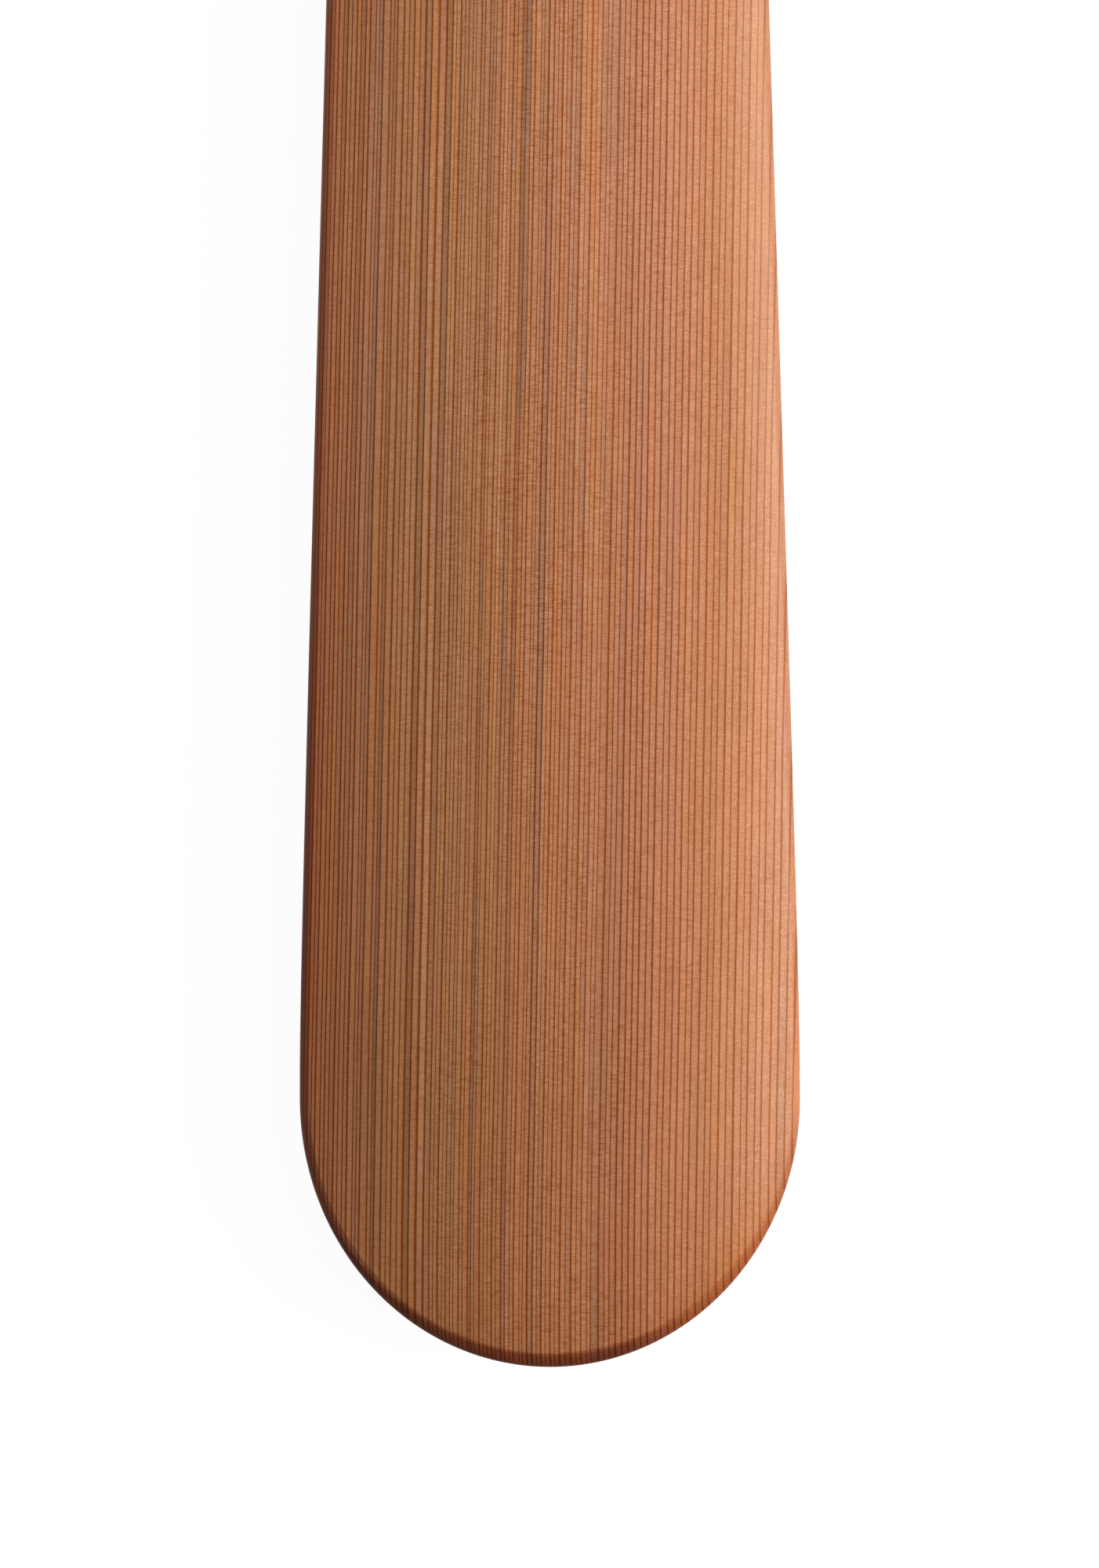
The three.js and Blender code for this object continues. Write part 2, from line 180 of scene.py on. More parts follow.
def carved_half_tree(labels):
    """The shape of one half: half a cross-section carried out along the near side of the blade, round
    the tip and back along the far side, and at the seam down a step and into the bore."""
    tree = bpy.data.node_groups.new("carved_half", "GeometryNodeTree")
    tree.interface.new_socket("Geometry", in_out="OUTPUT", socket_type="NodeSocketGeometry")
    for label in labels:
        tree.interface.new_socket(label, in_out="INPUT", socket_type="NodeSocketFloat")
    tree.interface.new_socket("Material", in_out="INPUT", socket_type="NodeSocketMaterial")
    inputs = tree.nodes.new("NodeGroupInput").outputs

    def size(name):
        """One of the sizes that the tree is given."""
        return Field(tree, inputs[name])

    # Where a point of the grid goes: which cross-section, and how far round it
    columns = FLAT_COLUMNS + FACE_COLUMNS + EDGE_COLUMNS + SIDE_COLUMNS
    counts = {"Vertices X": 2 * STATIONS + 1, "Vertices Y": 2 * columns + 1}
    grid = add_node(tree, "GeometryNodeMeshGrid", {"Size X": 2.0, "Size Y": 2.0, **counts})
    along, around, _ = separated(tree, tree.nodes.new("GeometryNodeInputPosition").outputs[0])
    side = (along * STATIONS).math("ROUND").math("SIGN")
    upward = (around * columns).math("ROUND").math("SIGN") * -1
    station = ((1 - along.math("ABSOLUTE")) * STATIONS).math("ROUND")
    column = ((1 - around.math("ABSOLUTE")) * columns).math("ROUND")

    # The place of the cross-section along the paddle, and its turn round the tip. Stations 0 and 1 are
    # the bottom of the bore, 2 its mouth, 3 and 4 the seat of the band, and 5 the step up from it.
    widest = size("Half Length") - size("Tip Length")
    seat_end = size("Seam") + size("Band Seat Length")
    run = (station - SEAM_STATIONS).math("MAXIMUM", 0) / (STATIONS - SEAM_STATIONS)
    straight = run.remap(0, 1 - TIP_SHARE)
    gather = 1 - (1 - straight).math("POWER", STATION_GATHER)
    turn = run.remap(1 - TIP_SHARE, 1, 0, math.pi / 2)
    x = gather.between(seat_end, widest)
    x = (station < SEAM_STATIONS - 1.5).between(x, size("Seam"))
    x = (station < SEAM_STATIONS - 3.5).between(x, size("Seam") + size("Bore Depth"))
    in_bore = station < SEAM_STATIONS - 2.5
    inset = (station < SEAM_STATIONS - 0.5) * size("Band Seat Depth")

    # Width and thickness there
    shoulder = size("Loom Half Length")
    shoulder_end = shoulder + size("Shoulder Length")

    def taper_run(at):
        """How far the blade has tapered at a place: straight, but for a soft turn at the widest."""
        back, rounding = widest - at, size("Taper Rounding")
        return (back * back + rounding * rounding).math("SQRT") - rounding

    past_shoulder = x.remap(shoulder, shoulder_end, smooth=True)
    blade_share = x.remap(shoulder, shoulder + size("Ridge Fade Length"), smooth=True)
    narrowing = taper_run(x) / taper_run(shoulder_end)
    blade_width = narrowing.between(size("Blade Width"), size("Blade Root Width"))
    width = past_shoulder.between(size("Loom Width"), blade_width) / 2 - inset
    thinning = ((widest - x) / (widest - shoulder)).math("POWER", size("Thickness Taper Power"))
    blade_thickness = thinning.between(size("Blade Tip Thickness"), size("Loom Thickness"))
    top = past_shoulder.between(size("Loom Thickness"), blade_thickness) / 2 - inset
    flat = blade_share.between(size("Loom Face Flat"), size("Ridge Flat")) / 2
    side_flat = blade_share.between(size("Loom Side Flat"), size("Edge Flat")) / 2
    crease = size("Edge Thickness") / 2
    band = (turn.math("SINE") * turn.math("SINE")).between(size("Side Edge Band"), size("Tip Edge Band"))

    # The loom's rounded corner, and the blade's face and rounded edge
    on_flat = column.remap(0, FLAT_COLUMNS)
    on_face = column.remap(FLAT_COLUMNS, FLAT_COLUMNS + FACE_COLUMNS)
    on_edge = column.remap(FLAT_COLUMNS + FACE_COLUMNS, columns - SIDE_COLUMNS)
    on_side = column.remap(columns - SIDE_COLUMNS, columns)
    corner = (on_face * CREASE_SHARE + on_edge * (1 - CREASE_SHARE)) * (math.pi / 2)
    loom_across = flat * on_flat + corner.math("SINE") * (width - flat)
    loom_up = corner.math("COSINE").between(side_flat, top)
    edge_turn = on_edge.between(EDGE_START_ANGLE, math.pi / 2)
    outward = (edge_turn.math("SINE") - math.sin(EDGE_START_ANGLE)) / (1 - math.sin(EDGE_START_ANGLE))
    rise = edge_turn.math("COSINE") / math.cos(EDGE_START_ANGLE)
    blade_across = on_face.between(flat * on_flat, width - band) + outward * band
    blade_up = (on_face * on_face).between(top, crease) + rise.between(side_flat, crease) - crease
    across = blade_share.between(loom_across, blade_across)
    up = blade_share.between(loom_up, blade_up) * (1 - on_side) * upward

    # The bore is round, and its bottom is closed
    circle = (around + 1) * (math.pi / 2)
    bore = size("Bore Radius") * (station > 0.5)
    across = in_bore.between(across, circle.math("SINE") * bore)
    up = in_bore.between(up, circle.math("COSINE") * bore)

    stretch = size("Tip Length") / size("Blade Width") * 2
    place = combined(
        tree,
        (x + across * stretch * turn.math("SINE")) * size("Facing"),
        across * turn.math("COSINE") * side * size("Facing"),
        up + size("Loom Thickness") / 2,
    )

    def through(kind, before, inputs=None, socket="Geometry", **settings):
        """What a node makes of the geometry that the node before it gives."""
        return add_node(tree, kind, {socket: before.outputs[0], **(inputs or {})}, **settings)

    shaped = through("GeometryNodeSetPosition", grid, {"Position": place})
    closed = through("GeometryNodeMergeByDistance", shaped, {"Distance": 0.001 * MM})
    closed = through("GeometryNodeFlipFaces", closed, socket="Mesh")

    # The button's hole, through the upper wall only
    drill_radius = size("Button Hole Radius").math("MAXIMUM", 0.1 * MM)
    bit = {"Vertices": ROUND_SIDES, "Radius": drill_radius, "Depth": size("Loom Thickness")}
    bit = add_node(tree, "GeometryNodeMeshCylinder", bit)
    place = combined(tree, size("Button Hole Place") * size("Facing"), z=size("Loom Thickness"))
    bit = through("GeometryNodeTransform", bit, {"Translation": place})
    solids = {"Mesh 1": closed.outputs[0], "Mesh 2": bit.outputs[0]}
    drilled = add_node(tree, "GeometryNodeMeshBoolean", solids, operation="DIFFERENCE", solver="EXACT")
    either = {"False": closed.outputs[0], "True": drilled.outputs[0]}
    either["Switch"] = size("Button Hole Radius") > 0
    body = add_node(tree, "GeometryNodeSwitch", either, input_type="GEOMETRY")

    # Round surfaces are shaded smooth up to the creases
    fold = Field(tree, tree.nodes.new("GeometryNodeInputMeshEdgeAngle").outputs["Unsigned Angle"])
    creases = {"Selection": fold > CREASE_ANGLE, "Shade Smooth": False}
    smooth = through("GeometryNodeSetShadeSmooth", body, {"Shade Smooth": True})
    smooth = through("GeometryNodeSetShadeSmooth", smooth, creases, domain="EDGE")
    real = through("GeometryNodeRealizeInstances", smooth)
    finished = through("GeometryNodeSetMaterial", real, {"Material": inputs["Material"]})
    feed(tree, tree.nodes.new("NodeGroupOutput").inputs[0], finished.outputs[0])
    return tree


def new_object(name, data):
    """A new object in the scene."""
    made = bpy.data.objects.new(name, data)
    bpy.context.collection.objects.link(made)
    return made


def apply_modifiers(piece):
    """Gives a piece the plain mesh that its modifiers make."""
    mesh = bpy.data.meshes.new_from_object(piece.evaluated_get(bpy.context.evaluated_depsgraph_get()))
    piece.modifiers.clear()
    piece.data = mesh
    return mesh


def made_by_nodes(name, tree, values):
    """A plain mesh piece from a Geometry Nodes tree and the values of its named inputs."""
    piece = new_object(name, bpy.data.meshes.new(name))
    modifier = piece.modifiers.new("shape", "NODES")
    modifier.node_group = tree
    for label, value in values.items():
        modifier[tree.interface.items_tree[label].identifier] = value
    apply_modifiers(piece).name = name
    return piece


def in_frame(piece, body, node):
    """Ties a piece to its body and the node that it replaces."""
    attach(piece, body)
    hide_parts(node)


def mixed(tree, share, first, second, blend="MIX"):
    """Two colours mixed by a share."""
    inputs = {0: share, 6: first, 7: second}
    return add_node(tree, "ShaderNodeMix", inputs, data_type="RGBA", blend_type=blend).outputs[2]


def tinted(tree, share, colour, tint):
    """A colour multiplied by a share of a tint."""
    return mixed(tree, share, colour, tint, "MULTIPLY")


def noise_at(tree, vector, scale=1.0, detail=0.0):
    """Smooth noise about 0.5 at a place."""
    node = add_node(tree, "ShaderNodeTexNoise", {"Vector": vector, "Scale": scale, "Detail": detail})
    return Field(tree, node.outputs[0])


def bump(tree, height, strength, distance):
    """The normal of a surface raised by a height."""
    inputs = {"Strength": strength, "Distance": distance, "Height": height}
    return add_node(tree, "ShaderNodeBump", inputs).outputs[0]


def curve(value, points):
    """A value led through a smooth curve, from points between 0 and 1."""
    node = add_node(value.tree, "ShaderNodeFloatCurve", {"Value": value})
    line = node.mapping.curves[0]
    line.points[0].location, line.points[1].location = points[0], points[-1]
    for point in points[1:-1]:
        line.points.new(*point)
    node.mapping.update()
    return Field(value.tree, node.outputs[0])


def ramp(value, stops):
    """The colour of a value on a ramp of stops, each a place and a web colour."""
    node = add_node(value.tree, "ShaderNodeValToRGB", {0: value})
    elements = node.color_ramp.elements
    while len(elements) < len(stops):
        elements.new(0.5)
    for element, (place, colour) in zip(elements, stops):
        element.position = place
        element.color = paint(colour)
    return node.outputs[0]


def surface_group(name, labels):
    """A new shader group with number inputs that gives a surface's colour, roughness and height: the
    tree and its inputs."""
    tree = bpy.data.node_groups.new(name, "ShaderNodeTree")
    for label in labels:
        tree.interface.new_socket(label, in_out="INPUT", socket_type="NodeSocketFloat")
    for label, kind in (("Color", "Color"), ("Roughness", "Float"), ("Height", "Float")):
        tree.interface.new_socket(label, in_out="OUTPUT", socket_type="NodeSocket" + kind)
    inputs = tree.nodes.new("NodeGroupInput").outputs
    return tree, [Field(tree, inputs[label]) for label in labels]


def new_material(name):
    """A new material, its node tree and the node of its finish."""
    material = bpy.data.materials.new(name)
    material.use_nodes = True
    return material, material.node_tree, material.node_tree.nodes["Principled BSDF"]


def cedar_group():
    """Upright cedar grain in the solid board, in millimetres: annual rings as thin dark lines that
    drift a little, fibres along the grain, the small flecks of the rays across it, and the colours of
    the board and its sawn ends, with painted shade and sheen across the board and along its rims."""
    labels = ("Along", "Across", "Up", "Seed", "Facing Up", "End Grain")
    tree, inputs = surface_group("upright_cedar_grain", labels)
    along, across, up, seed, facing_up, end_grain = inputs

    def spread(noise):
        """Noise that lies about 0.5, taken to between -1 and 1."""
        return (noise - 0.5) * NOISE_SPREAD

    def noise(along_size, across_size, detail=0.0, beside=None):
        """Even noise between -1 and 1, drawn out to a size along and across the grain."""
        beside = across if beside is None else beside
        place = combined(tree, along / along_size + seed, beside / across_size, up / across_size)
        return spread(noise_at(tree, place, detail=detail))

    # How far across the board, as the tree grew. The rings drift by about 21 mm in a metre, and lean by
    # 0.15 to 1 through the board's thickness.
    drift = along * (0.021 - across * 0.00008)
    grown = across - drift + up * 0.15 + noise(240, 70) * 0.45 + noise(38, 14) * 0.1
    board_share = grown / BOARD + 0.5

    # How many annual rings in, with wider and narrower years
    spacing = (
        (0, 0), (0.17, 0.208), (0.268, 0.306), (0.298, 0.328), (0.32, 0.356), (0.47, 0.545),
        (0.59, 0.677), (0.74, 0.806), (1, 1),
    )
    count = curve(board_share, spacing) * RINGS
    uneven = {"W": count * 0.6 + seed, "Scale": 1.0, "Detail": 0.0}
    uneven = add_node(tree, "ShaderNodeTexNoise", uneven, noise_dimensions="1D")
    count = count + (Field(tree, uneven.outputs[0]) - 0.5) * grown.remap(10, 25, 0.65, 0.4)
    ring, phase = count.math("FLOOR"), count.math("FRACT")

    def in_rings(strengths):
        """The strength given to a ring by its number, or 0."""
        total = 0
        for number, strength in strengths.items():
            total = ring.math("COMPARE", number, 0.5) * strength + total
        return total

    def by_ring(along_size, start):
        """Noise between -1 and 1 that differs from ring to ring and changes slowly along each."""
        place = combined(tree, along / along_size + seed, ring * RING_STEP + start, up / 40)
        return spread(noise_at(tree, place))

    # Late wood: each year darkens gradually and ends in a thin line, bolder on the left
    gradual = phase.remap(0.4, 0.93, smooth=True)
    line_start, line_end = grown.remap(-10, 30, 0.6, 0.7), 0.9
    line = ((phase - line_start) / (line_end - line_start)).remap(0, 1, smooth=True)
    line = line * phase.remap(0.95, 1.0, 1, 0)
    boldness = (
        (0, 0.72), (0.16, 0.69), (0.23, 0.525), (0.37, 0.56), (0.505, 0.53), (0.575, 0.43),
        (0.645, 0.57), (0.715, 0.46), (0.785, 0.425), (0.85, 0.35), (1, 0.3),
    )
    boldness = curve(board_share, boldness) * along.remap(-90, 130, 2.2, 1.8)
    boldness = boldness + by_ring(300, 11) * 0.12 + by_ring(30, 23) * 0.1
    boldness = boldness + in_rings({25: 0.25, 30: 0.15, 31: 0.3, 33: 0.4, 36: 0.2, 57: 0.3, 75: 0.25})
    line = line * boldness

    # Brightness of the rings that stand out, which for some changes towards the tip
    tipward = along.remap(-60, 130, 1, 0)
    inner = {
        14: -0.25, 18: -0.16, 21: 0.06, 25: -0.1, 29: 0.09, 31: -0.14, 32: 0.05, 34: -0.26, 35: 0.06,
        44: -0.12, 48: 0.22, 52: -0.3, 53: -0.2, 54: 0.04, 58: 0.05, 61: 0.07, 72: -0.05,
    }
    outer = {
        16: -0.1, 20: 0.08, 25: -0.36, 29: 0.09, 31: -0.38, 33: 0.2, 34: -0.08, 44: -0.27,
        48: 0.09, 52: -0.08, 53: 0.12, 54: 0.06, 58: -0.08, 61: 0.06, 66: -0.14, 72: -0.05,
    }
    brightness = tipward.between(in_rings(inner), in_rings(outer)) + by_ring(160, 37) * 0.05
    brightness = brightness + along.remap(-88, -60, 0.09, 0) * grown.remap(5, 30, 1, -0.3)

    # Tone: mottling, and fine fibres drawn out along the grain
    fibre = noise(2.6, 0.19, 1.0, beside=grown)
    tone = gradual * -0.1
    tone = tone + noise(420, 5, 1.0, beside=grown) * 0.05
    tone = tone + noise(11, 2.2, 1.0) * 0.08 + noise(2.4, 1.3, 1.0) * 0.08
    tone = tone + fibre * 0.14 + noise(0.3, 0.21, 1.0) * 0.45 + by_ring(0.5, 91) * 0.08

    # Rays: short thin flecks straight across the grain, thickest where the rings stand truly upright
    fleck = combined(tree, along / 0.24 + seed, across / 1.7, up / 0.5)
    fleck = spread(noise_at(tree, fleck, detail=0.5))
    upright = grown.math("ABSOLUTE").remap(8, 36, 1, 0.35) * (noise(20, 7) * 0.6 + 0.9)
    tone = tone - fleck * upright * 0.2
    rays = (fleck.remap(0.05, 0.8) + by_ring(0.3, 131).remap(0.1, 0.9) * 0.6) * upright

    # Hue: each ring lies somewhere between orange and a greyish purple
    hue = (by_ring(90, 53) * 0.5 + by_ring(700, 71) * 0.35) * grown.remap(10, 25, 1, 0.45) + 0.45
    hue = hue + noise(14, 3) * 0.1 - grown.remap(-40, -36, 0.15, 0)
    hue = hue - along.math("ABSOLUTE").remap(15, 65, 0.07, 0, smooth=True)

    # Greyish mineral streaks fill single rings, here and there along the board
    streaks = in_rings({22: 0.2, 25: 0.3, 34: 0.3, 44: 0.2, 52: 0.4, 58: 0.4, 71: 0.2})
    streaks = streaks + in_rings({53: 0.4}) * along.remap(50, 100)
    streaks = streaks * (noise(30, 3) * 0.9 + 0.7)
    streaks = streaks + by_ring(45, 151).remap(0.25, 0.8) * grown.remap(5, 25, 0.35, 0.1)

    # The board grows paler from its left edge to its right one: partly the wood's own tone, partly painted
    # shade towards the left and painted sheen towards the right
    board_tone_and_sheen = (
        (0.06, "#a25839"), (0.11, "#ab6e48"), (0.17, "#a56d4b"), (0.24, "#ad754d"), (0.3, "#ad764f"),
        (0.37, "#ae754f"), (0.44, "#b1764e"), (0.5, "#b97c56"), (0.56, "#c0815a"), (0.63, "#bd7c59"),
        (0.7, "#c5825d"), (0.78, "#c58258"), (0.86, "#ce895f"), (0.92, "#da9c77"),
    )
    hues = ((0.0, "#fff4de"), (0.45, "#f9f9fc"), (1.0, "#e2e8f4"))
    colour = tinted(tree, 1.0, ramp(board_share, board_tone_and_sheen), ramp(hue, hues))
    colour = mixed(tree, streaks, colour, "#8f6654")

    # Where the grain is cut across: square, as at the loom's sawn ends, or at a slant, round the tip
    sawn = end_grain.remap(0.9, 0.98)
    cut = end_grain.remap(0.3, 0.4, smooth=True) * (1 - sawn) * across.remap(12, 28, 1, 0)
    # Less density lightens the sawn ends: painted light on faces turned away from the key light
    density = line * (cut * 0.5 + 1.28) + rays * 0.3 - tone - 0.16 - sawn * 0.25

    # Painted shade darkens the rim at both sides of the tip. Along the board's right margin, painted shade
    # darkens it near the tip and a painted highlight makes it paler further in
    past_tip_start = (along * -1 - (HALF_LENGTH - TIP_LENGTH - GRAIN_START) / MM).math("MAXIMUM", 0)
    outward = (past_tip_start / (TIP_LENGTH / MM)).math("POWER", 2)
    outward = (outward + (across / (BLADE_WIDTH / 2 / MM)).math("POWER", 2)).math("SQRT")
    tip_rim_painted_shade = outward.remap(0.86, 1) * past_tip_start.remap(0, 12)
    density = density + tip_rim_painted_shade * (across.remap(-39, -33, 0.2, 0) + across.remap(12, 30, 0, 0.16))
    right_rim_shade_and_highlight = (across + along.remap(-45, 500, 0, 22)).remap(37, 44)
    density = density - right_rim_shade_and_highlight * along.remap(-80, 110, -0.25, 0.07)

    # Dense wood takes away most blue and least red
    shade = [(brightness - density * strength).math("EXPONENT") for strength in (0.6, 1, 1.5)]
    colour = tinted(tree, 1.0, colour, combined(tree, *shade))
    # A painted highlight mixes the right margin towards a pale colour further in
    colour = mixed(tree, right_rim_shade_and_highlight * along.remap(-10, 60, 0, 0.22), colour, "#deb08a")

    # Darker towards the tip, with painted shade deeper towards the left edge, away from the key light, and
    # weaker on the right.
    # The rounded rims get painted shade, and the tip's lower right rim a warmer tint
    tipward_dark_and_side_shade = along.remap(-110, 110, 1, 0) * grown.remap(-44, -16, 1.65, 1) * grown.remap(16, 36, 1, 0.25)
    colour = tinted(tree, tipward_dark_and_side_shade, colour, "#d8d2c3")
    orange = outward.remap(0.8, 0.96) * past_tip_start.remap(8, 28) * across.remap(12, 30)
    colour = tinted(tree, orange, colour, "#fff6e2")
    # Painted shade on the rounded rims, where they turn away from facing up; along the left rim further in,
    # half as much
    rim_painted_shade = facing_up.remap(0.88, 0.7, smooth=True)
    left_rim_painted_shade = rim_painted_shade * across.remap(-5, 5, 1, 0)
    colour = tinted(tree, rim_painted_shade - left_rim_painted_shade * along.remap(20, 130, 0, 0.5), colour, "#f3e8e2")
    # More painted shade on the right rim, which faces the key light; it fades out further along the blade
    right_rim_painted_shade = facing_up.remap(0.94, 0.86, smooth=True) * across.remap(-5, 5)
    right_rim_painted_shade = right_rim_painted_shade * along.remap(160, 400, 1, 0) * along.remap(-40, 30, 0.6, 1)
    colour = tinted(tree, right_rim_painted_shade, colour, "#e9e5e2")
    # Painted shade turns the left rim purplish near the tip
    left_rim_purple_shade = left_rim_painted_shade * along.remap(-40, 20, 1, 0) * across.remap(-38, -31, 1, 0)
    colour = tinted(tree, left_rim_purple_shade, colour, "#ebd4e3")
    colour = tinted(tree, end_grain.remap(0.03, 0.31), colour, "#e6d2c2")
    colour = tinted(tree, cut, colour, "#c4aa9e")

    roughness = fibre * 0.04 - line * 0.05 + end_grain.remap(0.03, 0.5) * 0.12 + 0.46
    height = line * 0.6 + fibre * 0.2 - fleck * 0.1
    made = {"Color": colour, "Roughness": roughness, "Height": height}
    feed_all(tree, tree.nodes.new("NodeGroupOutput"), made)
    return tree


cedar_grain = cedar_group()


def oiled_cedar(name, facing, seed):
    """Cedar for one half. The two boards are laid end to end, with the grain of one turned round."""
    material, tree, finish = new_material(name)
    where = tree.nodes.new("ShaderNodeTexCoord").outputs
    x, y, z = separated(tree, where["Object"])
    end_on, _, level = separated(tree, where["Normal"])
    spot = {
        "Along": x * (-facing / MM) + GRAIN_START / MM,
        "Across": y * (facing / MM),
        "Up": z / MM - GRAIN_HEIGHT,
        "Seed": seed,
        "Facing Up": level.math("ABSOLUTE"),
        "End Grain": end_on.math("ABSOLUTE"),
    }
    grain = add_node(tree, "ShaderNodeGroup", node_tree=cedar_grain)
    feed_all(tree, grain, spot)
    looks = {
        "Base Color": grain.outputs["Color"],
        "Roughness": grain.outputs["Roughness"],
        "Specular IOR Level": 0.1,
        "Normal": bump(tree, grain.outputs["Height"], 0.5, 0.03 * MM),
    }
    feed_all(tree, finish, looks)
    return material


half_sizes = {
    "Half Length": HALF_LENGTH,
    "Loom Half Length": LOOM_HALF_LENGTH,
    "Loom Width": LOOM_WIDTH,
    "Loom Thickness": LOOM_THICKNESS,
    "Loom Face Flat": LOOM_FACE_FLAT,
    "Loom Side Flat": LOOM_SIDE_FLAT,
    "Blade Width": BLADE_WIDTH,
    "Blade Root Width": BLADE_ROOT_WIDTH,
    "Tip Length": TIP_LENGTH,
    "Taper Rounding": TAPER_ROUNDING,
    "Shoulder Length": SHOULDER_LENGTH,
    "Ridge Fade Length": RIDGE_FADE_LENGTH,
    "Ridge Flat": RIDGE_FLAT,
    "Blade Tip Thickness": BLADE_TIP_THICKNESS,
    "Thickness Taper Power": THICKNESS_TAPER_POWER,
    "Edge Thickness": EDGE_THICKNESS,
    "Edge Flat": EDGE_FLAT,
    "Side Edge Band": SIDE_EDGE_BAND,
    "Tip Edge Band": TIP_EDGE_BAND,
    "Seam": SEAM,
    "Band Seat Depth": BAND_THICKNESS + GLUE_GAP,
    "Band Seat Length": BAND_LENGTH + GLUE_GAP,
    "Button Hole Place": BUTTON_SETBACK,
}
left_sizes = {
    "Facing": -1.0,
    "Bore Radius": SOCKET_RADIUS + GLUE_GAP,
    "Bore Depth": SOCKET_LENGTH + GLUE_GAP,
    "Button Hole Radius": BUSHING_RADIUS + GLUE_GAP,
    "Material": oiled_cedar("left_cedar", -1, 0.0),
}
right_sizes = {
    "Facing": 1.0,
    "Bore Radius": SPIGOT_RADIUS + GLUE_GAP,
    "Bore Depth": SPIGOT_ROOT + GLUE_GAP,
    "Button Hole Radius": 0.0,
    "Material": oiled_cedar("right_cedar", 1, 57.0),
}
carved_half = carved_half_tree([name for name in (*half_sizes, *left_sizes) if name != "Material"])
left_wood = made_by_nodes("left_half_wood", carved_half, {**half_sizes, **left_sizes})
in_frame(left_wood, "socket_half", "left_blade_and_loom")
right_wood = made_by_nodes("right_half_wood", carved_half, {**half_sizes, **right_sizes})
in_frame(right_wood, "spigot_half", "right_blade_and_loom")

# The carbon bands. Each is a ring of twill cloth and resin laid up round the cut end of the loom and
# sanded flush with the wood, which it keeps from splitting. The left one has the button's hole.
TWILL_TOW = 2.0 * MM
BAND_TOWS_AROUND = 56
CUT_EDGE = 0.25 * MM
AXIS_HEIGHT = LOOM_THICKNESS / 2
SHARP_ANGLE = math.radians(30)  # sharper edges aren't shaded smooth
CORNER_LIMIT = 0.35  # the share of a side that rounding a corner may take up
CORNER_GUARD = 1.3  # reaches of the rounding from a corner to the points that keep its sides flat
CORNER_STEPS = 28  # round a quarter of the loom


def eased(profile, radius, closed=True):
    """A profile with its corners rounded off. A point beside each corner keeps the face there flat."""
    points = []
    for i, corner in enumerate(profile):
        if not closed and i in (0, len(profile) - 1):
            points.append(corner)
            continue
        corner = Vector(corner)
        before, after = (Vector(profile[(i + step) % len(profile)]) - corner for step in (-1, 1))
        reach = min(radius, before.length * CORNER_LIMIT, after.length * CORNER_LIMIT)
        before, after = before.normalized() * reach, after.normalized() * reach
        points.append(corner + before * CORNER_GUARD)
        for share in (0, 0.25, 0.5, 0.75, 1):
            points.append(corner + before * (1 - share) ** 2 + after * share**2)
        points.append(corner + after * CORNER_GUARD)
    return [tuple(point) for point in points]


def sweep(angle, steps):
    """Angles from 0 up to an angle, in equal steps."""
    return [angle * i / steps for i in range(steps + 1)]


def distances(points):
    """How far along a row of points each one lies."""
    way = [0]
    for near, far in zip(points, points[1:]):
        way.append(way[-1] + math.dist(near, far))
    return way


def lofted(name, rings, material, closed=True, tow=TWILL_TOW, tows_around=1):
    """A solid laid through a row of rings. The row closes on itself, or comes to a point at both ends.
    Its UV map counts the tows of a weave, along the row and round the rings."""
    around = max((distances(ring + ring[:1]) for ring in rings), key=lambda way: way[-1])
    around = [way / around[-1] * tows_around for way in around]
    shape = bmesh.new()
    grid = [[shape.verts.new(point) for point in ring] for ring in rings]
    weave = shape.loops.layers.uv.new("tows")
    run = 0
    for i in range(len(rings) if closed else len(rings) - 1):
        near, far = grid[i], grid[(i + 1) % len(rings)]
        end = run + (far[0].co - near[0].co).length
        for j, k in zip(range(len(near)), [*range(1, len(near)), 0]):
            face = shape.faces.new((near[j], near[k], far[k], far[j]))
            spots = ((run, j), (run, j + 1), (end, j + 1), (end, j))
            for loop, (along, step) in zip(face.loops, spots):
                loop[weave].uv = (along / tow, around[step])
        run = end
    bmesh.ops.remove_doubles(shape, verts=shape.verts, dist=0.0001 * MM)
    bmesh.ops.recalc_face_normals(shape, faces=shape.faces)
    mesh = bpy.data.meshes.new(name)
    shape.to_mesh(mesh)
    shape.free()
    mesh.materials.append(material)
    mesh.shade_smooth()
    mesh.set_sharp_from_angle(angle=SHARP_ANGLE)
    return new_object(name, mesh)


def turned(name, profile, material, upright_at=None, closed=True, sides=ROUND_SIDES, tows_around=1):
    """A round piece from its profile of (place along its axis, radius) points. Its axis is the middle
    of the loom, or stands upright at a place along it."""
    rings = []
    for place, radius in profile:
        turns = sweep(2 * math.pi, sides)[:-1]
        circle = [(radius * math.sin(turn), radius * math.cos(turn)) for turn in turns]
        if upright_at is None:
            rings.append([(place, across, AXIS_HEIGHT + up) for across, up in circle])
        else:
            rings.append([(upright_at + along, across, place) for along, across in circle])
    return lofted(name, rings, material, closed, tows_around=tows_around)


def drill(piece, radius, along):
    """Makes a round hole through the upper wall of a piece, from above."""
    low, high = AXIS_HEIGHT, AXIS_HEIGHT * 3
    profile = ((low, 0), (low, radius), (high, radius), (high, 0))
    bit = turned("drill_bit", profile, piece.data.materials[0], upright_at=along, closed=False)
    hole = piece.modifiers.new("hole", "BOOLEAN")
    hole.object = bit
    hole.solver = "EXACT"
    apply_modifiers(piece).set_sharp_from_angle(angle=SHARP_ANGLE)
    bpy.data.objects.remove(bit)


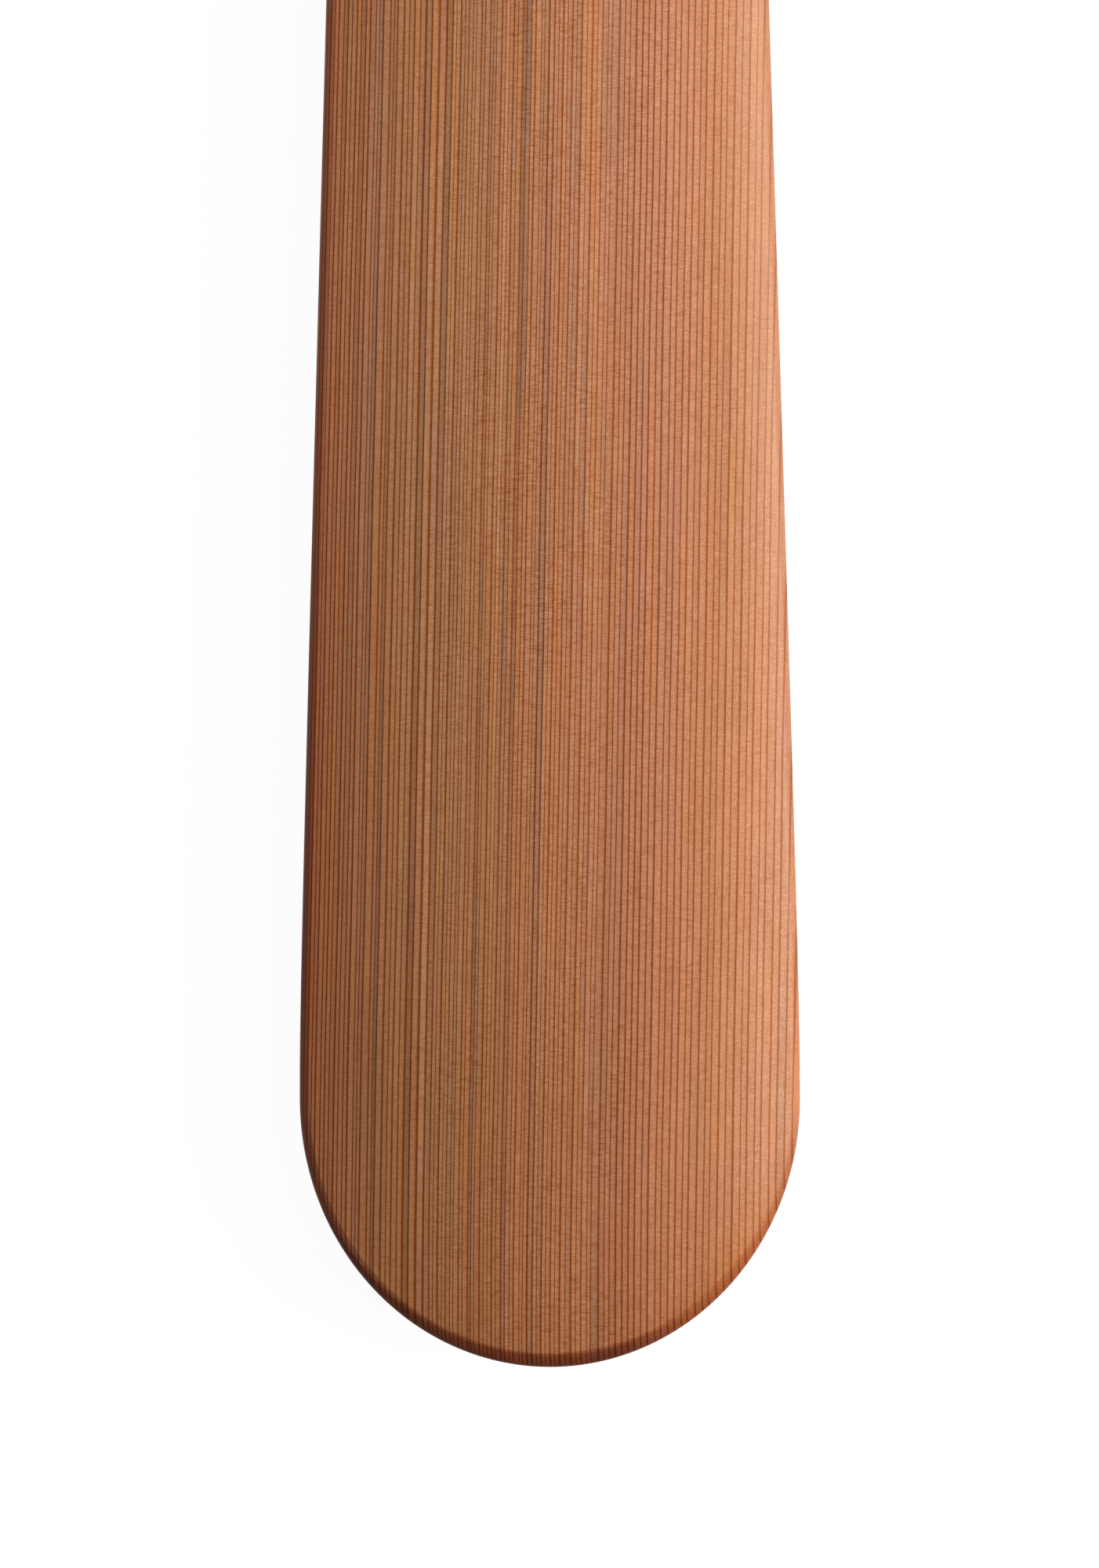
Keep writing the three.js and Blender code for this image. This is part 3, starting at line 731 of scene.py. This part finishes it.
def twill_group():
    """Two-over-two carbon twill, counted in tows: which tow lies on top, its rounded back and its
    single fibres, with a painted sheen on the tows."""
    tree, (along, around) = surface_group("carbon_twill", ("Along", "Around"))
    step = (along.math("FLOOR") + around.math("FLOOR")).math("FLOORED_MODULO", 4)
    lengthwise = step < 1.5
    beside = lengthwise.between(along.math("FRACT"), around.math("FRACT"))
    across_float, along_float = step - 2 + around.math("FRACT"), step + along.math("FRACT")
    down_float = lengthwise.between(across_float / 2, along_float / 2)
    back = 1 - (beside * 2 - 1).math("POWER", 2)
    crown = 1 - (down_float * 2 - 1).math("POWER", 4)
    fibre_along = lengthwise.between(around * 0.4, along * 0.4)
    fibre_beside = lengthwise.between(along * 26, around * 26)
    fibre = noise_at(tree, combined(tree, fibre_along, fibre_beside, lengthwise * 7), detail=1.0)
    # Painted sheen: tows that run along are lighter, and so are the crown and back of each tow; the fibre
    # noise is the cloth's own texture
    light = lengthwise * 0.5 + crown * 0.25 + (fibre - 0.5) * 0.8 + back * 0.1
    made = {
        "Color": ramp(light, ((0.1, "#050506"), (1.0, "#303235"))),
        "Roughness": light * -0.12 + 0.42,
        "Height": back * 0.5 + crown * 0.4 + fibre * 0.15,
    }
    feed_all(tree, tree.nodes.new("NodeGroupOutput"), made)
    return tree


carbon_twill = twill_group()


def object_place(tree):
    """Where a spot lies on its piece, in metres."""
    return tree.nodes.new("ShaderNodeTexCoord").outputs["Object"]


def scaled(tree, place, scale, rotation=(0, 0, 0)):
    """A place turned and scaled, so that a pattern there is drawn out."""
    inputs = {0: place, "Rotation": rotation, "Scale": scale}
    return add_node(tree, "ShaderNodeMapping", inputs).outputs[0]


def carbon(name, coat, coat_roughness, rubbed):
    """Carbon twill in clear resin, glossy or ground to a satin. A share of it is rubbed by sliding."""
    material, tree, finish = new_material(name)
    along, around, _ = separated(tree, add_node(tree, "ShaderNodeUVMap", uv_map="tows").outputs[0])
    cloth = add_node(tree, "ShaderNodeGroup", node_tree=carbon_twill)
    feed_all(tree, cloth, {"Along": along, "Around": around})
    streaks = scaled(tree, object_place(tree), (0.04 / MM, 1.6 / MM, 1.6 / MM))
    scuff = noise_at(tree, streaks, detail=3.0).remap(0.5, 0.68) * rubbed
    height = Field(tree, cloth.outputs["Height"]) - scuff
    looks = {
        "Base Color": mixed(tree, scuff, cloth.outputs["Color"], "#55575a"),
        "Roughness": Field(tree, cloth.outputs["Roughness"]) + scuff * 0.3,
        "Specular IOR Level": 0.15,
        "Coat Weight": coat - scuff * coat,
        "Coat Roughness": coat_roughness,
        "Normal": bump(tree, height, 0.6, 0.06 * MM),
    }
    feed_all(tree, finish, looks)
    return material


def loom_outline(depth):
    """The loom's outline at a depth under its surface, as (across, up) from its middle."""
    across, up = LOOM_WIDTH / 2 - depth, LOOM_THICKNESS / 2 - depth
    flat, side = LOOM_FACE_FLAT / 2, LOOM_SIDE_FLAT / 2
    corner = [
        (flat + math.sin(turn) * (across - flat), side + math.cos(turn) * (up - side))
        for turn in sweep(math.pi / 2, CORNER_STEPS)
    ]
    back = corner[::-1]
    return [
        *corner,
        *((across, -height) for across, height in back),
        *((-across, -height) for across, height in corner),
        *((-across, height) for across, height in back),
    ]


band_end = SEAM + BAND_LENGTH
band_profile = ((SEAM, 0), (band_end, 0), (band_end, BAND_THICKNESS), (SEAM, BAND_THICKNESS))
band_profile = eased(band_profile, CUT_EDGE)
glossy_carbon = carbon("glossy_carbon_twill", 1.0, 0.08, 0.12)
for name, body, node, facing in (
    ("left_band_twill", "socket_half", "left_loom_band", -1),
    ("right_band_twill", "spigot_half", "right_loom_band", 1),
):
    rings = [
        [(facing * place, across, AXIS_HEIGHT + up) for across, up in loom_outline(depth)]
        for place, depth in band_profile
    ]
    band = lofted(name, rings, glossy_carbon, tows_around=BAND_TOWS_AROUND)
    if facing < 0:
        drill(band, BUSHING_RADIUS + GLUE_GAP, -BUTTON_SETBACK)
    in_frame(band, body, node)

# The ferrule's two tubes, wrapped from the same carbon twill. The socket is bonded into the left loom
# and the spigot into the right one. The spigot is ground to slide in the socket, which rubs it satin.
SOCKET_BORE = SOCKET_RADIUS - 1.5 * MM
SPIGOT_BORE = SPIGOT_RADIUS - 2.4 * MM
SPIGOT_REACH = 99.85 * MM
TUBE_EDGE = 0.15 * MM
LEAD_IN = 0.6 * MM
BUTTON_HOLE_RADIUS = 3.5 * MM
SEAL_SETBACK = 7 * MM
SEAL_THICKNESS = 1.3 * MM
SEAL_GROOVE_DEPTH = 1.2 * MM
SEAL_CLEARANCE = 0.3 * MM

socket_end = -SEAM - SOCKET_LENGTH
socket_profile = (
    (socket_end, SOCKET_BORE),
    (socket_end, SOCKET_RADIUS),
    (-SEAM, SOCKET_RADIUS),
    (-SEAM, SOCKET_BORE + LEAD_IN),
    (-SEAM - LEAD_IN, SOCKET_BORE),
)
bore_carbon = carbon("bore_carbon_twill", 0.6, 0.2, 0.5)
socket = turned("socket_tube_twill", eased(socket_profile, TUBE_EDGE), bore_carbon, tows_around=40)
drill(socket, BUTTON_HOLE_RADIUS, -BUTTON_SETBACK)
in_frame(socket, "socket_half", "socket_tube")

spigot_end = SEAM + SPIGOT_ROOT
groove_near = -SEAL_SETBACK + SEAL_THICKNESS / 2 + SEAL_CLEARANCE
groove_far = -SEAL_SETBACK - SEAL_THICKNESS / 2 - SEAL_CLEARANCE
spigot_profile = (
    (-SPIGOT_REACH, SPIGOT_BORE),
    (-SPIGOT_REACH, SPIGOT_RADIUS - LEAD_IN),
    (-SPIGOT_REACH + LEAD_IN, SPIGOT_RADIUS),
    (groove_far, SPIGOT_RADIUS),
    (groove_far, SPIGOT_RADIUS - SEAL_GROOVE_DEPTH),
    (groove_near, SPIGOT_RADIUS - SEAL_GROOVE_DEPTH),
    (groove_near, SPIGOT_RADIUS),
    (spigot_end, SPIGOT_RADIUS),
    (spigot_end, SPIGOT_BORE),
)
ground_carbon = carbon("ground_carbon_twill", 0.7, 0.18, 0.8)
spigot = turned("spigot_tube_twill", eased(spigot_profile, TUBE_EDGE), ground_carbon, tows_around=32)
drill(spigot, BUTTON_HOLE_RADIUS, -BUTTON_SETBACK)
in_frame(spigot, "spigot_half", "spigot_tube")

# The cork plugs. Discs cut from pressed cork granules, glued into the tubes' ends against water: one
# at the bottom of the socket and one in each end of the spigot.
PLUG_LENGTH = 8 * MM
PLUG_EDGE = 0.5 * MM
GRANULE = 1.7 * MM


def pressed_cork():
    """Cork granules of many shades, pressed together with dark gaps between them."""
    material, tree, finish = new_material("pressed_cork")
    where = object_place(tree)
    warp = add_node(tree, "ShaderNodeTexNoise", {"Vector": where, "Scale": 0.9 / MM, "Detail": 1.0})
    warp = {0: warp.outputs["Color"], 1: (0.9 * MM,) * 3, 2: where}
    warped = add_node(tree, "ShaderNodeVectorMath", warp, operation="MULTIPLY_ADD")
    cells = {"Vector": warped.outputs[0], "Scale": 1 / GRANULE}
    granules = add_node(tree, "ShaderNodeTexVoronoi", cells)
    gaps = add_node(tree, "ShaderNodeTexVoronoi", cells, feature="DISTANCE_TO_EDGE")
    gap = Field(tree, gaps.outputs["Distance"]).remap(0.0, 0.07, 1, 0)
    shade = add_node(tree, "ShaderNodeSeparateColor", {0: granules.outputs["Color"]})
    shade = Field(tree, shade.outputs[0])
    pores = noise_at(tree, where, 3.5 / MM, 2.0)
    shades = ((0.0, "#7d5230"), (0.3, "#a87c50"), (0.75, "#c39a6b"), (1.0, "#d4b084"))
    colour = ramp(shade * 0.8 + pores * 0.4 - 0.1, shades)
    looks = {
        "Base Color": mixed(tree, gap * 0.8, colour, "#4a2f1b"),
        "Roughness": pores * 0.1 + 0.8,
        "Normal": bump(tree, pores * 0.6 - gap, 0.8, 0.15 * MM),
    }
    feed_all(tree, finish, looks)
    return material


cork = pressed_cork()
for name, body, node, start, bore in (
    ("socket_cork", "socket_half", "socket_plug", socket_end, SOCKET_BORE),
    ("spigot_tip_cork", "spigot_half", "spigot_tip_plug", -SPIGOT_REACH, SPIGOT_BORE),
    ("spigot_root_cork", "spigot_half", "spigot_root_plug", spigot_end - PLUG_LENGTH, SPIGOT_BORE),
):
    end, radius = start + PLUG_LENGTH, bore - GLUE_GAP
    plug_profile = eased(((start, 0), (start, radius), (end, radius), (end, 0)), PLUG_EDGE, closed=False)
    in_frame(turned(name, plug_profile, cork, closed=False), body, node)

# The seal ring. A moulded rubber ring in the groove near the spigot's root, which keeps water out of
# the socket and takes up the play.
SEAL_RADIUS = SOCKET_BORE - (SEAL_GROOVE_DEPTH + SOCKET_BORE - SPIGOT_RADIUS) / 2
SEAL_SIDES = 28
MOULD_LINE = 0.03 * MM


def matt_rubber():
    """Dull black rubber with a faint bloom."""
    material, tree, finish = new_material("matt_rubber")
    bloom = noise_at(tree, object_place(tree), 0.5 / MM, 4.0)
    looks = {
        "Base Color": ramp(bloom, ((0.35, "#141414"), (0.75, "#2b2a29"))),
        "Roughness": bloom * 0.3 + 0.5,
        "Normal": bump(tree, bloom, 0.3, 0.02 * MM),
    }
    feed_all(tree, finish, looks)
    return material


seal_profile = []
for i, turn in enumerate(sweep(2 * math.pi, SEAL_SIDES)[:-1]):
    on_line = i % (SEAL_SIDES // 2) == 0  # where the mould's halves met
    reach = SEAL_THICKNESS / 2 - MOULD_LINE + (MOULD_LINE if on_line else 0)
    seal_profile.append((-SEAL_SETBACK + reach * math.sin(turn), SEAL_RADIUS + reach * math.cos(turn)))
seal = turned("spigot_rubber_ring", seal_profile, matt_rubber(), sides=128)
in_frame(seal, "spigot_half", "spigot_seal_ring")

# The button's bushing and the snap button, both turned from brass. The bushing is glued into the hole
# in the left loom. The button is riveted to its spring inside the spigot and clicks up into it.
BUSHING_TOP = LOOM_THICKNESS - 0.2 * MM
BUSHING_BOTTOM = 28.8 * MM
BUSHING_DISH = 0.8 * MM
BUTTON_RADIUS = 3.2 * MM
BUTTON_TOP = LOOM_THICKNESS - 0.6 * MM
BUTTON_DOME = 1.4 * MM
DOME_STEPS = 14
FLANGE_RADIUS = 4 * MM
FLANGE_BOTTOM = 21.973 * MM
FLANGE_TOP = FLANGE_BOTTOM + 1 * MM
SPRING_THICKNESS = 0.8 * MM
SEAT_GAP = 0.3 * MM
RIVET_RADIUS = 1.1 * MM
SHANK_RADIUS = RIVET_RADIUS - 0.05 * MM
COLLAR_RADIUS = 1.8 * MM


def turned_brass():
    """Brass with the fine rings of the lathe's tool, a little tarnish and a few scratches."""
    material, tree, finish = new_material("turned_brass")
    where = object_place(tree)
    x, y, z = separated(tree, where)
    off_axis = x + BUTTON_SETBACK
    off_axis = (off_axis * off_axis + y.math("POWER", 2)).math("SQRT")
    tool = noise_at(tree, combined(tree, off_axis, z=z), 9 / MM, 2.0)
    tarnish = noise_at(tree, where, 0.35 / MM, 4.0).remap(0.42, 0.7)
    scratch = scaled(tree, where, (0.25 / MM, 7 / MM, 7 / MM), (0, 0, 0.5))
    scratch = noise_at(tree, scratch, detail=1.0).remap(0.62, 0.7)
    bright = mixed(tree, tool, "#cfa65c", "#e2bd74")
    looks = {
        "Metallic": 1,
        "Base Color": mixed(tree, tarnish * 0.7, bright, "#8a6a3a"),
        "Roughness": tool * 0.12 + tarnish * 0.22 + scratch * 0.15 + 0.16,
        "Normal": bump(tree, tool - scratch * 0.6, 0.35, 0.02 * MM),
    }
    feed_all(tree, finish, looks)
    return material


brass = turned_brass()
bushing_profile = (
    (BUSHING_BOTTOM, BUTTON_HOLE_RADIUS),
    (BUSHING_BOTTOM, BUSHING_RADIUS),
    (BUSHING_TOP, BUSHING_RADIUS),
    (BUSHING_TOP, BUTTON_HOLE_RADIUS + BUSHING_DISH),
    (BUSHING_TOP - BUSHING_DISH, BUTTON_HOLE_RADIUS),
)
bushing = turned("bushing_brass", eased(bushing_profile, 0.2 * MM), brass, upright_at=-BUTTON_SETBACK)
in_frame(bushing, "socket_half", "button_bushing")

leaf_top = FLANGE_BOTTOM - SEAT_GAP
rivet_seat = leaf_top - SPRING_THICKNESS
lower_profile = (
    (rivet_seat - 0.75 * MM, 0),
    (rivet_seat - 0.6 * MM, 1.3 * MM),
    (rivet_seat, 2.1 * MM),
    (rivet_seat, SHANK_RADIUS),
    (leaf_top, SHANK_RADIUS),
    (leaf_top, COLLAR_RADIUS),
    (FLANGE_BOTTOM, COLLAR_RADIUS),
    (FLANGE_BOTTOM, FLANGE_RADIUS),
    (FLANGE_TOP, FLANGE_RADIUS),
    (FLANGE_TOP, BUTTON_RADIUS),
    (BUTTON_TOP - BUTTON_DOME, BUTTON_RADIUS),
)
dome = [
    (BUTTON_TOP - BUTTON_DOME * (1 - math.sin(turn)), BUTTON_RADIUS * math.cos(turn))
    for turn in sweep(math.pi / 2, DOME_STEPS)[1:-1]
]
button_profile = [*eased(lower_profile, 0.15 * MM, closed=False), *dome, (BUTTON_TOP, 0)]
button = turned("snap_button_brass", button_profile, brass, upright_at=-BUTTON_SETBACK, closed=False)
in_frame(button, "snap_button", "snap_button")

# The button's spring. A strip of spring steel bent into a V: the lower leg stands on the spigot's bore
# and the upper one, riveted to the button, bends down as it is pressed. It is drawn as two pieces that
# meet at the end of the bend.
SPRING_WIDTH = 6 * MM
SPRING_END = -15 * MM
SPRING_BEND = -55 * MM
SPRING_BEND_RADIUS = 2.5 * MM
SPRING_BOTTOM = 8.561 * MM
LEAF_EDGE = 0.18 * MM
LEAF_END_ROUNDING = 2 * MM
END_STEPS, BEND_STEPS, LOWER_STEPS, UPPER_STEPS = 8, 24, 30, 60


def brushed_steel():
    """Spring steel brushed along the strip, and tinted where the bend was heated."""
    material, tree, finish = new_material("brushed_spring_steel")
    where = object_place(tree)
    brushed = noise_at(tree, scaled(tree, where, (0.12 / MM, 11 / MM, 1 / MM)), detail=3.0)
    x, _, _ = separated(tree, where)
    heated = x.remap(SPRING_BEND - 1 * MM, SPRING_BEND + 9 * MM, 0.6, 0, smooth=True)
    colour = mixed(tree, brushed, "#a9abad", "#c9cacb")
    looks = {
        "Metallic": 1,
        "Base Color": mixed(tree, heated, colour, "#9c8b6c"),
        "Roughness": brushed * 0.25 + 0.17,
        "Normal": bump(tree, brushed, 0.3, 0.015 * MM),
    }
    feed_all(tree, finish, looks)
    return material


steel = brushed_steel()


def leaf(name, path):
    """A strip with eased edges that follows a path of (place, height) points. An end at the strip's
    own end is rounded, and the end at the bend is cut square."""
    rings = []
    points = [Vector(point) for point in path]
    for i, point in enumerate(points):
        ahead = (points[min(i + 1, len(points) - 1)] - points[max(i - 1, 0)]).normalized()
        normal = Vector((-ahead.y, ahead.x))
        from_end = max(0, min(1, (SPRING_END - point.x) / LEAF_END_ROUNDING))
        half = SPRING_WIDTH / 2 - LEAF_END_ROUNDING * (1 - math.sqrt(1 - (1 - from_end) ** 2))
        thick = SPRING_THICKNESS / 2
        corners = eased(((half, thick), (-half, thick), (-half, -thick), (half, -thick)), LEAF_EDGE)
        rings.append([(point.x + normal.x * up, across, point.y + normal.y * up) for across, up in corners])
    middles = [tuple(sum(axis) / len(ring) for axis in zip(*ring)) for ring in (rings[0], rings[-1])]
    first, last = ([middle] * len(rings[0]) for middle in middles)
    return lofted(name, [first, *rings, last], steel, closed=False)


def straight(start, end, steps):
    """Points on a straight line."""
    return [tuple(Vector(start).lerp(Vector(end), i / steps)) for i in range(steps + 1)]


leaf_upper = leaf_top - SPRING_THICKNESS / 2
leaf_lower = SPRING_BOTTOM + SPRING_THICKNESS / 2
leaf_middle = (leaf_upper + leaf_lower) / 2
slope = (leaf_lower - leaf_middle + SPRING_BEND_RADIUS) / (SPRING_END - SPRING_BEND)
rounding = [SPRING_END - LEAF_END_ROUNDING * (1 - math.cos(turn)) for turn in sweep(math.pi / 2, END_STEPS)]
lower_leg = [(x, leaf_lower + (x - SPRING_END) * slope) for x in rounding]
upper_leg = [(x, leaf_upper - (x - SPRING_END) * slope) for x in rounding]
bend = [
    (SPRING_BEND - SPRING_BEND_RADIUS * math.sin(turn), leaf_middle - SPRING_BEND_RADIUS * math.cos(turn))
    for turn in sweep(math.pi, BEND_STEPS)
]
lower_path = [*lower_leg[:-1], *straight(lower_leg[-1], bend[0], LOWER_STEPS), *bend[1:]]
upper_path = [*straight(bend[-1], upper_leg[-1], UPPER_STEPS), *upper_leg[::-1][1:]]
lower_leaf = leaf("spring_lower_leg", lower_path)
upper_leaf = leaf("spring_upper_leg", upper_path)
drill(upper_leaf, RIVET_RADIUS, -BUTTON_SETBACK)
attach(lower_leaf, "spigot_half")
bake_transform(upper_leaf)
for piece in (lower_leaf, upper_leaf):
    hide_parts("button_spring")

# The studio: a wide pale floor, one big soft light low on the blade's right in the picture, a second
# high above it, a weak one from the other side and an even fill all round.
FLOOR_REACH = 15
FLOOR_DROP = 0.3 * MM
FILL_STRENGTH = 0.22

# Each light's height above the horizon, from the -Y side up and over, its strength and its spread
for name, elevation, strength, spread in (
    ("key_light", 32, 3.42, 30),
    ("sheen_light", 66, 0.65, 30),
    ("fill_light", 155, 0.4, 60),
):
    lamp = bpy.data.lights.new(name, "SUN")
    lamp.energy = strength
    lamp.angle = math.radians(spread)
    new_object(name, lamp).rotation_euler = (math.pi / 2 - math.radians(elevation), 0, 0)


def seen_directly(tree):
    """1 for what the camera sees itself, in gloss or through glass, and 0 for light on the object."""
    rays = tree.nodes.new("ShaderNodeLightPath").outputs
    direct = Field(tree, rays["Is Camera Ray"]) + Field(tree, rays["Is Glossy Ray"])
    return (direct + Field(tree, rays["Is Transmission Ray"])).math("MINIMUM", 1)


world = bpy.data.worlds.new("studio")
world.use_nodes = True
bpy.context.scene.world = world
tree = world.node_tree
light = {"Color": (1, 1, 1, 1), "Strength": seen_directly(tree).between(FILL_STRENGTH, 1)}
feed_all(tree, tree.nodes["Background"], light)

paper, tree, _ = new_material("studio_floor")
tree.nodes.clear()
white = add_node(tree, "ShaderNodeEmission", {"Color": (1, 1, 1, 1), "Strength": 0.96})
shadowed = add_node(tree, "ShaderNodeBsdfDiffuse", {"Color": (0.06, 0.06, 0.06, 1)})
seen = add_node(tree, "ShaderNodeAddShader", {0: white.outputs[0], 1: shadowed.outputs[0]})
unseen = add_node(tree, "ShaderNodeBsdfDiffuse", {"Color": (0.2, 0.2, 0.2, 1)})
either = {0: seen_directly(tree), 1: unseen.outputs[0], 2: seen.outputs[0]}
either = add_node(tree, "ShaderNodeMixShader", either)
add_node(tree, "ShaderNodeOutputMaterial", {"Surface": either.outputs[0]})

floor_mesh = bpy.data.meshes.new("floor")
corners = [(x * FLOOR_REACH, y * FLOOR_REACH, -FLOOR_DROP) for x, y in ((-1, -1), (1, -1), (1, 1), (-1, 1))]
floor_mesh.from_pydata(corners, [], [(0, 1, 2, 3)])
floor_mesh.materials.append(paper)
new_object("studio_floor", floor_mesh)

# The camera looks straight down at the outer end of the left blade, tip at the bottom. The widest
# place of the blade gives the size of a pixel, the tip's end and the blade's middle its aim, and
# the blade's two edges how far it is turned.
PHOTO_HEIGHT = 2000
PIXEL = BLADE_WIDTH / 638
TIP_END_BELOW_MIDDLE = 743.5
BLADE_MIDDLE_LEFT_OF_MIDDLE = 0.4
PHOTO_TURN = math.radians(0.12)
CAMERA_HEIGHT = 2.0
SENSOR = 36

camera_data = bpy.data.cameras.new("camera")
camera_data.sensor_width = SENSOR
camera_data.lens = SENSOR * (CAMERA_HEIGHT - LOOM_THICKNESS / 2) / (PHOTO_HEIGHT * PIXEL)
camera = new_object("camera", camera_data)
aim = (TIP_END_BELOW_MIDDLE * PIXEL - HALF_LENGTH, -BLADE_MIDDLE_LEFT_OF_MIDDLE * PIXEL)
camera.location = (*aim, CAMERA_HEIGHT)
camera.rotation_euler = (0, 0, -math.pi / 2 - PHOTO_TURN)
bpy.context.scene.camera = camera
bpy.context.scene.view_settings.view_transform = "Standard"
